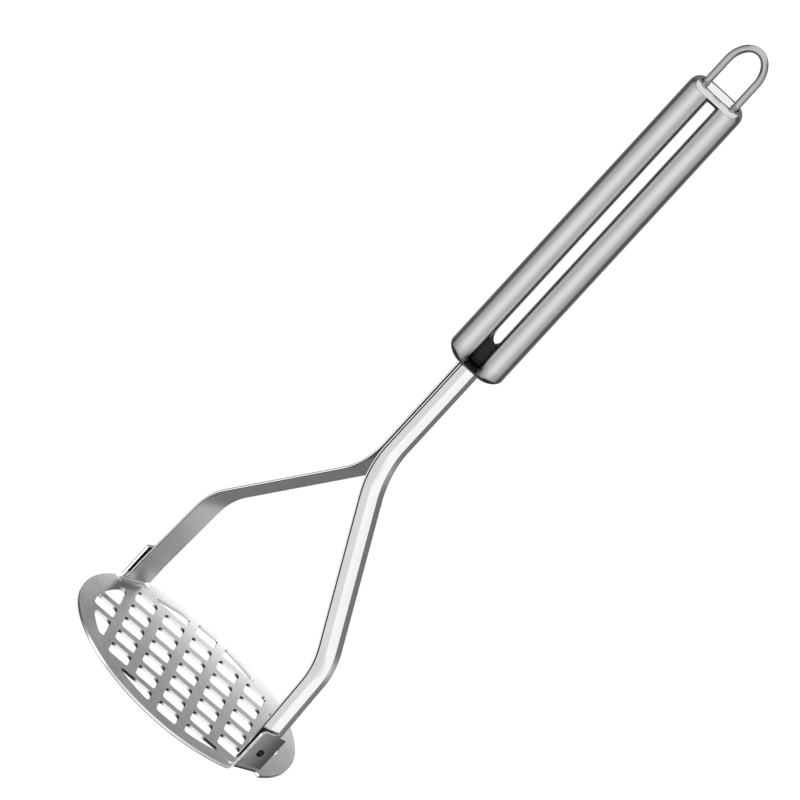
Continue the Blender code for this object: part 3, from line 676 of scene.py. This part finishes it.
# --- fork strips ------------------------------------------------------------------------------
def strip_route():
    """The inner face of a strip, from the foot up to the tang, as (x, z) points."""
    inner = STRIP_OUT - STRIP_T
    corners = [(inner, STRIP_FOOT), (inner, FOOT_BEND[0]), (KNEE[0] - STRIP_T, KNEE[1]),
               (NECK[0] - STRIP_T, NECK[1]), (NECK[0] - STRIP_T, SHOULDER)]
    route = [corners[0]]
    for i, radius in enumerate((FOOT_BEND[1], KNEE[2], NECK[2])):
        route += fillet(corners[i], corners[i + 1], corners[i + 2], radius)
    return route + [corners[-1]]


def strip_section(width, edge):
    """Section of a strip as (out, across): flat inside, sloping bands outside, soft edges."""
    half = width / 2
    flat = STRIP_W / 2 - SLOPE_W
    fall = SLOPE_DROP / SLOPE_W
    low = STRIP_T - max(half - flat, 0.0) * fall - STRIP_CROWN * (half > flat)
    roll = edge * 1.6
    tilt = math.atan(fall) if half > flat else 0.0
    section = arc((edge, half - edge), edge, math.pi, math.pi / 2, 4)
    section += arc((low - roll, half - roll), roll, math.pi / 2, tilt, 4)
    middle = min(flat, half * 0.6)
    for y in [middle + 0.15 * MM] + [middle * (1 - i / 8) for i in range(17)] + [-middle - 0.15 * MM]:
        crown = STRIP_CROWN * min(1.0, (y / flat) ** 2)
        section.append((STRIP_T - crown * (half > flat) - max(abs(y) - flat, 0.0) * fall, y))
    section += arc((low - roll, -half + roll), roll, -tilt, -math.pi / 2, 4)
    section += arc((edge, -half + edge), edge, -math.pi / 2, -math.pi, 4)
    return section


def make_strip(name, node, way, outer, inner):
    route = strip_route()
    rings = []
    for i, (x, z) in enumerate(route):
        before, after = route[max(i - 1, 0)], route[min(i + 1, len(route) - 1)]
        length = math.hypot(after[0] - before[0], after[1] - before[1])
        out = ((after[1] - before[1]) / length, -(after[0] - before[0]) / length)
        rings.append([(x + out[0] * d, y, z + out[1] * d) for d, y in strip_section(STRIP_W, STRIP_EDGE)])
    x = route[-1][0]
    for z in (SHOULDER, TANG_TOP):
        rings.append([(x + d, y, z) for d, y in strip_section(TANG_W, STRIP_EDGE)])
    bm = bmesh.new()
    loft(bm, rings)
    if way < 0:
        bmesh.ops.rotate(bm, verts=bm.verts, cent=(0, 0, 0), matrix=Matrix.Rotation(math.pi, 3, "Z"))
    strip = add_object(name, mesh_of(bm, name))
    bore = rivet_bore(way)
    strip = boolean(strip, [bore])
    bpy.data.objects.remove(bore)
    mesh = strip.data
    mesh.materials.clear()
    mesh.materials.append(outer)
    mesh.materials.append(inner)
    for face in mesh.polygons:
        c = face.center
        facing = -way * face.normal.x
        face.material_index = 1 if facing > 0.55 and abs(c.y) < STRIP_W / 2 - STRIP_EDGE * 0.5 else 0
    mesh.shade_smooth()
    mesh.set_sharp_from_angle(angle=math.radians(5))
    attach(strip, "root")
    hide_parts(node)


def rivet_bore(way):
    """The blind hole in a strip."""
    place = Matrix.Translation((way * STRIP_OUT, 0, RIVET_Z)) @ Matrix.Rotation(math.pi / 2, 4, "Y")
    bm = bmesh.new()
    radius = RIVET_R + CLEAR / 2
    bmesh.ops.create_cone(bm, cap_ends=True, segments=48, radius1=radius, radius2=radius,
                          depth=2 * RIVET_DEPTH, matrix=place)
    return add_object("rivet_bore", mesh_of(bm, "rivet_bore"))


# --- rivets -----------------------------------------------------------------------------------
def rivet_profile():
    """From the crown of the head to the tail, as (radius, along) points."""
    ball = (RIVET_HEAD_R ** 2 + RIVET_HEAD_H ** 2) / (2 * RIVET_HEAD_H)
    rise = math.asin(RIVET_HEAD_R / ball) * 0.96
    tilts = [rise * i / 10 for i in range(11)]
    points = [(ball * math.sin(t), RIVET_HEAD_H - ball * (1 - math.cos(t))) for t in tilts]
    points += [(RIVET_HEAD_R, 0.06 * MM), (RIVET_HEAD_R - 0.05 * MM, 0.0), (RIVET_R, 0.0)]
    tail = -(TAB_OUT + CLEAR - STRIP_OUT + RIVET_DEPTH - CLEAR)
    return points + [(RIVET_R, tail + 0.1 * MM), (RIVET_R - 0.1 * MM, tail), (0.0, tail)]


def make_rivets(material):
    mesh = bpy.data.meshes.new("rivet_pattern")
    profile = rivet_profile()
    mesh.from_pydata([(r, 0, z) for r, z in profile], [(i, i + 1) for i in range(len(profile) - 1)], [])
    pattern = add_object("rivet_pattern", mesh)
    screw = pattern.modifiers.new("turn", "SCREW")
    screw.steps = screw.render_steps = 48
    screw.use_merge_vertices = True
    screw.merge_threshold = WELD
    pattern = settled(pattern)

    r = Recipe("rivets", {"Rivet": ("Object", pattern), "Reach": ("Float", TAB_OUT + CLEAR / 2),
                          "Height": ("Float", RIVET_Z)})
    reach = r.value("Reach")
    start = r.node("ShaderNodeCombineXYZ", None, {0: reach, 2: r.value("Height")})
    step = r.node("ShaderNodeCombineXYZ", None, {0: reach * -2.0})
    places = r.node("GeometryNodeMeshLine", None, {
        "Count": 2, "Start Location": start.out(0), "Offset": step.out(0)})
    index = r.node("GeometryNodeInputIndex").flow(0)
    turn = r.node("ShaderNodeCombineXYZ", None, {1: math.pi / 2 - index * math.pi})
    shape = r.node("GeometryNodeObjectInfo", None, {"Object": r.value("Rivet")})
    set_in = r.node("GeometryNodeInstanceOnPoints", None, {
        "Points": places.out(0), "Instance": shape.out("Geometry")})
    r.tree.links.new(turn.out(0), set_in.node.inputs["Rotation"])
    r.finish(set_in.out(0), material)
    rivets = r.make("tab_rivets")
    bpy.data.objects.remove(pattern)
    rivets.data.shade_smooth()
    rivets.data.set_sharp_from_angle(angle=math.radians(50))
    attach(rivets, "root")
    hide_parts("rivet_left", "rivet_right")


# --- handle -----------------------------------------------------------------------------------
def drawn(depth, dome):
    """Share of the full draw at a distance from the end of a quarter-round dome."""
    return 0.0 if depth >= dome else 1.0 - math.sqrt(1.0 - ((dome - depth) / dome) ** 2)


def grip_scale(z):
    low = drawn(z - GRIP_LOW, FOOT_DOME)
    high = drawn(GRIP_HIGH - z, TOP_DOME)
    roll = 1.0 - math.sqrt(max(0.0, 1.0 - max(0.0, 1.0 - min(z - GRIP_LOW, GRIP_HIGH - z) / LIP_ROLL) ** 2))
    sx = 1.0 - (FOOT_DRAW[0] * low + TOP_DRAW[0] * high + LIP_ROLL * roll) / (LOBE_C + LOBE_A)
    sy = 1.0 - (FOOT_DRAW[1] * low + TOP_DRAW[1] * high + LIP_ROLL * roll) / LOBE_B
    return sx, sy


def grip_section(z):
    """The two lobes and the web between them at height z."""
    sx, sy = grip_scale(z)
    inside = min(z - GRIP_LOW - SHELF_LOW, GRIP_HIGH - SHELF_HIGH - z)
    share = min(max(inside / RUNOUT, 0.0), 1.0)
    full = LOBE_B * (1.0 - 1e-4)
    web = full + (WEB - full) * math.sin(share * math.pi / 2)
    end = math.pi - math.asin(web / LOBE_B)
    ring = []
    steps = 72
    for side in (1, -1):
        for i in range(steps + 1):
            a = -end + 2 * end * i / steps
            ring.append((side * (LOBE_C + LOBE_A * math.cos(a)) * sx, side * LOBE_B * math.sin(a) * sy, z))
    return ring


def bore_section(z, side):
    sx, sy = grip_scale(z)
    steps = 64
    return [(side * LOBE_C * sx + (LOBE_A * sx - WALL) * math.cos(2 * math.pi * i / steps),
             (LOBE_B * sy - WALL) * math.sin(2 * math.pi * i / steps), z) for i in range(steps)]


def grip_heights(low, high):
    """Heights for the sections, close together where the shape changes."""
    def eased(first, last, steps):
        return [first + (last - first) * (1 - math.cos(math.pi / 2 * i / steps)) for i in range(steps + 1)]

    heights = eased(low, GRIP_LOW + FOOT_DOME, 12) + eased(high, GRIP_HIGH - TOP_DOME, 12)
    heights += [GRIP_LOW + SHELF_LOW + RUNOUT * i / 10 for i in range(11)]
    heights += [GRIP_HIGH - SHELF_HIGH - RUNOUT * i / 10 for i in range(11)]
    heights += [GRIP_LOW + LIP_ROLL / 2, GRIP_LOW + LIP_ROLL]
    heights += [GRIP_HIGH - LIP_ROLL, GRIP_HIGH - LIP_ROLL / 2]
    kept = []
    for z in sorted(z for z in heights if low <= z <= high):
        if not kept or z - kept[-1] > 0.03 * MM:
            kept.append(z)
    kept[-1] = high
    return kept


def oval(half_x, half_y, power, count=96):
    ring = []
    for i in range(count):
        c, s = math.cos(2 * math.pi * i / count), math.sin(2 * math.pi * i / count)
        ring.append((half_x * math.copysign(abs(c) ** power, c), half_y * math.copysign(abs(s) ** power, s)))
    return ring


def top_opening(inset):
    half_x = LOBE_C + LOBE_A - TOP_DRAW[0] - LIP - inset
    return oval(half_x, LOBE_B - TOP_DRAW[1] - LIP - inset, 0.75)


def foot_opening(inset):
    half_x = LOBE_C + LOBE_A - FOOT_DRAW[0] - LIP - inset
    return oval(half_x, LOBE_B - FOOT_DRAW[1] - LIP - inset, 0.8)


def slot_outline():
    """Side view of the slot: a leaning point below, nearly square above."""
    half = SLOT_W / 2
    ring = [(-half, SLOT_LOW + SLOT_TIP)]
    for i in range(1, 17):
        a = math.pi / 2 * i / 16
        ring.append((-half + SLOT_SHIFT * (1 - math.cos(a)), SLOT_LOW + SLOT_TIP * (1 - math.sin(a))))
    near, far = (half, SLOT_HIGH), (-half, SLOT_HIGH)
    ring.append((half, SLOT_LOW + SLOT_STEP))
    ring += fillet((half, SLOT_LOW), near, far, SLOT_CORNER, math.radians(10))
    ring += fillet(near, far, (-half, SLOT_LOW), SLOT_CORNER, math.radians(10))
    return ring


def make_handle(material):
    tools = []
    for side, name in ((1, "bore_one"), (-1, "bore_two")):
        bm = bmesh.new()
        heights = grip_heights(GRIP_LOW + FOOT_DEPTH / 2, GRIP_HIGH - CAP_DEPTH / 2)
        loft(bm, [bore_section(z, side) for z in heights])
        tools.append(add_object(name, mesh_of(bm, name)))
    slot = prism("slot", slot_outline(), -2 * LOBE_B, 2 * LOBE_B)
    slot.data.transform(Matrix.Rotation(math.pi / 2, 4, "X"))
    tools.append(slot)
    tools.append(prism("top_recess", top_opening(0.0), GRIP_HIGH - CAP_DEPTH, GRIP_HIGH + CAP_DEPTH))
    tools.append(prism("foot_recess", foot_opening(0.0), GRIP_LOW - FOOT_DEPTH, GRIP_LOW + FOOT_DEPTH))

    bm = bmesh.new()
    loft(bm, [grip_section(z) for z in grip_heights(GRIP_LOW, GRIP_HIGH)])
    whole = boolean(add_object("grip", mesh_of(bm, "grip")), tools)
    reach = 4 * (LOBE_A + LOBE_C)
    shells = ((-1, "handle_front", "handle_front_shell"), (1, "handle_back", "handle_back_shell"))
    for way, name, node in shells:
        y0, y1 = sorted((way * SEAM / 2, way * reach))
        block = [(-reach, y0), (reach, y0), (reach, y1), (-reach, y1)]
        half = prism("half", block, GRIP_LOW - reach, GRIP_HIGH + reach)
        shell = boolean(add_object(name, whole.data.copy()), [half], "INTERSECT")
        bpy.data.objects.remove(half)
        shell.data.transform(Matrix.Rotation(GRIP_TURN, 4, "Z"))
        shell.data.materials.clear()
        shell.data.materials.append(material)
        shell.data.shade_smooth()
        shell.data.set_sharp_from_angle(angle=math.radians(32))
        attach(shell, "root")
        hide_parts(node)
    for tool in tools + [whole]:
        bpy.data.objects.remove(tool)


def make_caps(material):
    """The stamped plates that close the handle above and below."""
    top = prism("top_cap", top_opening(CLEAR), GRIP_HIGH - CAP_DEPTH + CLEAR, GRIP_HIGH)
    legs = []
    for side, name in ((1, "leg_hole_one"), (-1, "leg_hole_two")):
        ring = [(side * LEG + (WIRE_R + CLEAR / 2) * math.cos(a), (WIRE_R + CLEAR / 2) * math.sin(a))
                for a in (2 * math.pi * i / 48 for i in range(48))]
        legs.append(prism(name, ring, GRIP_HIGH - 2 * CAP_DEPTH, GRIP_HIGH + CAP_DEPTH))
    top = boolean(top, legs)

    foot = prism("foot_cap", foot_opening(CLEAR), GRIP_LOW, GRIP_LOW + FOOT_DEPTH - CLEAR)
    across, along = STRIP_T + 1.5 * CLEAR, TANG_W / 2 + CLEAR
    seat = prism("seat", [(-across, -along), (across, -along), (across, along), (-across, along)],
                 GRIP_LOW - CAP_DEPTH, GRIP_LOW + 2 * CAP_DEPTH, -GRIP_TURN)
    foot = boolean(foot, [seat])
    for tool in legs + [seat]:
        bpy.data.objects.remove(tool)
    for cap, node in ((top, "end_cap"), (foot, "lower_cap")):
        cap.data.transform(Matrix.Rotation(GRIP_TURN, 4, "Z"))
        cap.data.materials.clear()
        cap.data.materials.append(material)
        soften(cap, 0.15 * MM, 3, 40)
        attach(cap, "root")
        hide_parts(node)


# --- hanging loop -----------------------------------------------------------------------------
def make_loop(material):
    """Bent wire: two legs and an arch, swept along a line that the recipe draws."""
    r = Recipe("hanging_loop", {
        "Leg": ("Float", LEG), "Arch": ("Float", LOOP_ARCH), "Wire": ("Float", WIRE_R),
        "Crest": ("Float", LOOP_TOP - WIRE_R), "Foot": ("Float", LEG_FOOT)})
    leg, arch, crest, foot = (r.value(k) for k in ("Leg", "Arch", "Crest", "Foot"))
    spring = crest - arch
    bow = r.node("GeometryNodeCurveArc", None, {"Resolution": 49, "Radius": 1.0, "Sweep Angle": math.pi})
    size = r.node("ShaderNodeCombineXYZ", None, {0: leg, 1: arch, 2: 1.0})
    up = r.node("ShaderNodeCombineXYZ", None, {2: spring})
    stood = r.node("GeometryNodeTransform", None, {"Geometry": bow.out(0), "Scale": size.out(0)})
    raised = r.node("GeometryNodeTransform", None, {"Geometry": stood.out(0), "Translation": up.out(0)})
    raised.node.inputs["Rotation"].default_value = (math.pi / 2, 0, 0)
    ends = []
    for way in (1.0, -1.0):
        low = r.node("ShaderNodeCombineXYZ", None, {0: leg * way, 2: foot})
        high = r.node("ShaderNodeCombineXYZ", None, {0: leg * way, 2: spring})
        first, last = (low, high) if way > 0 else (high, low)
        line = r.node("GeometryNodeCurvePrimitiveLine", None, {"Start": first.out(0), "End": last.out(0)})
        ends.append(r.node("GeometryNodeResampleCurve", None, {0: line.out(0), "Count": 14}))
    points = r.node("GeometryNodeJoinGeometry")
    for source in (ends[1], raised, ends[0]):
        r.tree.links.new(source.out(0), points.node.inputs[0])
    loose = r.node("GeometryNodeCurveToMesh", None, {0: points.out(0)})
    joined = r.node("GeometryNodeMergeByDistance", None, {0: loose.out(0), "Distance": WELD})
    line = r.node("GeometryNodeMeshToCurve", None, {0: joined.out(0)})
    ring = r.node("GeometryNodeCurvePrimitiveCircle", None, {"Resolution": 32, "Radius": r.value("Wire")})
    wire = r.node("GeometryNodeCurveToMesh", None, {0: line.out(0), 1: ring.out(0), "Fill Caps": True})
    r.finish(wire.out(0), material)
    loop = r.make("hanging_loop_wire")
    bm = bmesh.new()
    bm.from_mesh(loop.data)
    bmesh.ops.remove_doubles(bm, verts=bm.verts, dist=WELD)
    bmesh.ops.recalc_face_normals(bm, faces=bm.faces)
    bm.to_mesh(loop.data)
    bm.free()
    loop.data.transform(Matrix.Rotation(GRIP_TURN, 4, "Z"))
    soften(loop, 0.2 * MM, 3, 50)
    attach(loop, "root")
    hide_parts("hanging_loop")


# --- studio -----------------------------------------------------------------------------------
VIEW_TURN = math.radians(37.0)
VIEW_RISE = math.radians(22.2)
VIEW_ROLL = math.radians(42.6)
CAMERA_FAR = 11.5
FRAME_WIDTH = 0.2456
AIM_LEFT = 9.05 * MM                # of the plate's middle, in the frame's own directions
AIM_UP = 106.6 * MM
AIM_HEIGHT = 0.12
SENSOR = 36.0
TENT = 1.5                          # distance of the cards
CARD_HEIGHT = 2.6
CARD_MIDDLE = 0.06


def make_camera():
    right = Vector((math.cos(VIEW_TURN), math.sin(VIEW_TURN), 0))
    ahead = Vector((-math.sin(VIEW_TURN) * math.cos(VIEW_RISE), math.cos(VIEW_TURN) * math.cos(VIEW_RISE),
                    -math.sin(VIEW_RISE)))
    up = right.cross(ahead)
    target = Vector((0, 0, SHEET)) - right * AIM_LEFT + up * AIM_UP
    target += ahead * (Vector((0, 0, AIM_HEIGHT)) - target).dot(ahead)
    data = bpy.data.cameras.new("camera")
    data.sensor_width = SENSOR
    data.lens = SENSOR * CAMERA_FAR / FRAME_WIDTH
    data.clip_start = 1.0
    data.clip_end = 100.0
    camera = add_object("camera", data)
    cr, sr = math.cos(VIEW_ROLL), math.sin(VIEW_ROLL)
    side = right * cr + up * sr
    top = up * cr - right * sr
    turn = Matrix((side, top, -ahead)).transposed()
    camera.matrix_world = Matrix.Translation(target - ahead * CAMERA_FAR) @ turn.to_4x4()
    bpy.context.scene.camera = camera


def make_surroundings():
    """A light tent: bright in front, a dark card at each flank, white to the eye."""
    world = bpy.data.worlds.new("light_tent")
    bpy.context.scene.world = world
    world.use_nodes = True
    w = Bench(world.node_tree)
    w.tree.nodes.clear()
    ray = w.node("ShaderNodeTexCoord").out("Generated")
    front = w.node("ShaderNodeVectorMath", {"operation": "DOT_PRODUCT"}, {
        0: ray, 1: (math.sin(VIEW_TURN), -math.cos(VIEW_TURN), 0)}).flow("Value")
    side = w.node("ShaderNodeVectorMath", {"operation": "DOT_PRODUCT"}, {
        0: ray, 1: (math.cos(VIEW_TURN), math.sin(VIEW_TURN), 0)}).flow("Value")
    height = w.node("ShaderNodeSeparateXYZ", None, {0: ray}).flow(2)
    away = abs(side.bearing(front)) * math.degrees(1)
    level = away.ramp(0, 95, 1.0, 0.5) * away.ramp(88, 120, 1.0, 0.2) + away.ramp(128, 155, 0.0, 0.12)
    level = level + away.ramp(158, 172, 0.0, 0.45) * height.ramp(-0.05, 0.05, 1.0, 0.0)
    above = height.ramp(0.5, 0.66)
    level = level * (1.0 - above) + above
    below = height.ramp(-0.68, -0.44, 1.0, 0.0)
    level = level * (1.0 - below) + below * 0.06
    seen = w.node("ShaderNodeLightPath").flow("Is Camera Ray")
    strength = level * (1.0 - seen) + seen
    shine = w.node("ShaderNodeBackground", None, {"Color": (1, 1, 1, 1), "Strength": strength})
    w.node("ShaderNodeOutputWorld", None, {"Surface": shine.out(0)})


def card(name, bearing, rise, distance, width, height, glow, receivers):
    """A glowing card out at a bearing from the camera, lighting only the pieces named."""
    data = bpy.data.lights.new(name, "AREA")
    data.shape = "RECTANGLE"
    data.size = width
    data.size_y = height
    data.energy = glow * math.pi * width * height
    lamp = add_object(name, data)
    azimuth = math.radians(bearing) + VIEW_TURN - math.pi / 2
    out = Vector((math.cos(azimuth) * math.cos(rise), math.sin(azimuth) * math.cos(rise), math.sin(rise)))
    lamp.location = out * distance + Vector((0, 0, CARD_MIDDLE))
    lamp.rotation_euler = (-out).to_track_quat("-Z", "Y").to_euler()
    lamp.visible_camera = False
    lit = bpy.data.collections.new(name + "_lights")
    for piece in receivers:
        lit.objects.link(bpy.data.objects[piece])
    lamp.light_linking.receiver_collection = lit
    return lamp


def make_lights():
    """Cards for the broad faces and cut edges of the strips, the top cap and the plate."""
    strips = ("strip_right", "strip_left")
    card("strip_card", 107.0, 0.0, TENT, 0.46, CARD_HEIGHT, 1.0, strips)
    card("near_card", 89.0, 0.0, TENT, 0.46, CARD_HEIGHT, 0.42, strips)
    card("under_card", 156.0, math.radians(-38), TENT, 1.2, 0.8, 0.22, strips)
    card("side_card", 123.0, 0.0, TENT, 0.50, CARD_HEIGHT, 0.10, strips)
    card("edge_card", -74.0, math.radians(-22), TENT, 0.7, 1.2, 1.0, strips + ("mashing_plate",))
    card("cap_card", 180.0, math.radians(24), TENT, 1.2, 0.9, 1.0, ("top_cap",))
    panel = card("back_panel", 180.0, 0.0, 0.09, 0.4, 0.024, 2.8, ("mashing_plate",))
    panel.location.z = panel.data.size_y / 2


def make_floor():
    """A plain pale floor, lit evenly so that it runs into the background."""
    bm = bmesh.new()
    bmesh.ops.create_circle(bm, cap_ends=True, segments=64, radius=3.0)
    floor = add_object("floor", mesh_of(bm, "floor"))
    mat = bpy.data.materials.new("floor_white")
    mat.use_nodes = True
    f = Bench(mat.node_tree)
    f.tree.nodes.clear()
    glow = f.node("ShaderNodeEmission", None, {"Color": (1, 1, 1, 1), "Strength": 1.06})
    matt = f.node("ShaderNodeBsdfDiffuse", None, {"Color": (0.9, 0.9, 0.9, 1)})
    both = f.node("ShaderNodeMixShader", None, {0: 0.06, 1: glow.out(0), 2: matt.out(0)})
    f.node("ShaderNodeOutputMaterial", None, {"Surface": both.out(0)})
    floor.data.materials.append(mat)
    floor.visible_glossy = False
    floor.visible_shadow = False
    floor.location.z = -0.02 * MM


def main():
    view = bpy.context.scene.view_settings
    view.view_transform = "Standard"
    view.look = "None"
    make_plate(plate_finish())
    polished, mill = strip_finish(), strip_inner_finish()
    make_strip("strip_right", "arm_right", 1, polished, mill)
    make_strip("strip_left", "arm_left", -1, polished, mill)
    make_rivets(rivet_finish())
    make_handle(grip_finish())
    make_caps(cap_finish())
    make_loop(wire_finish())
    make_camera()
    make_surroundings()
    make_lights()
    make_floor()


main()
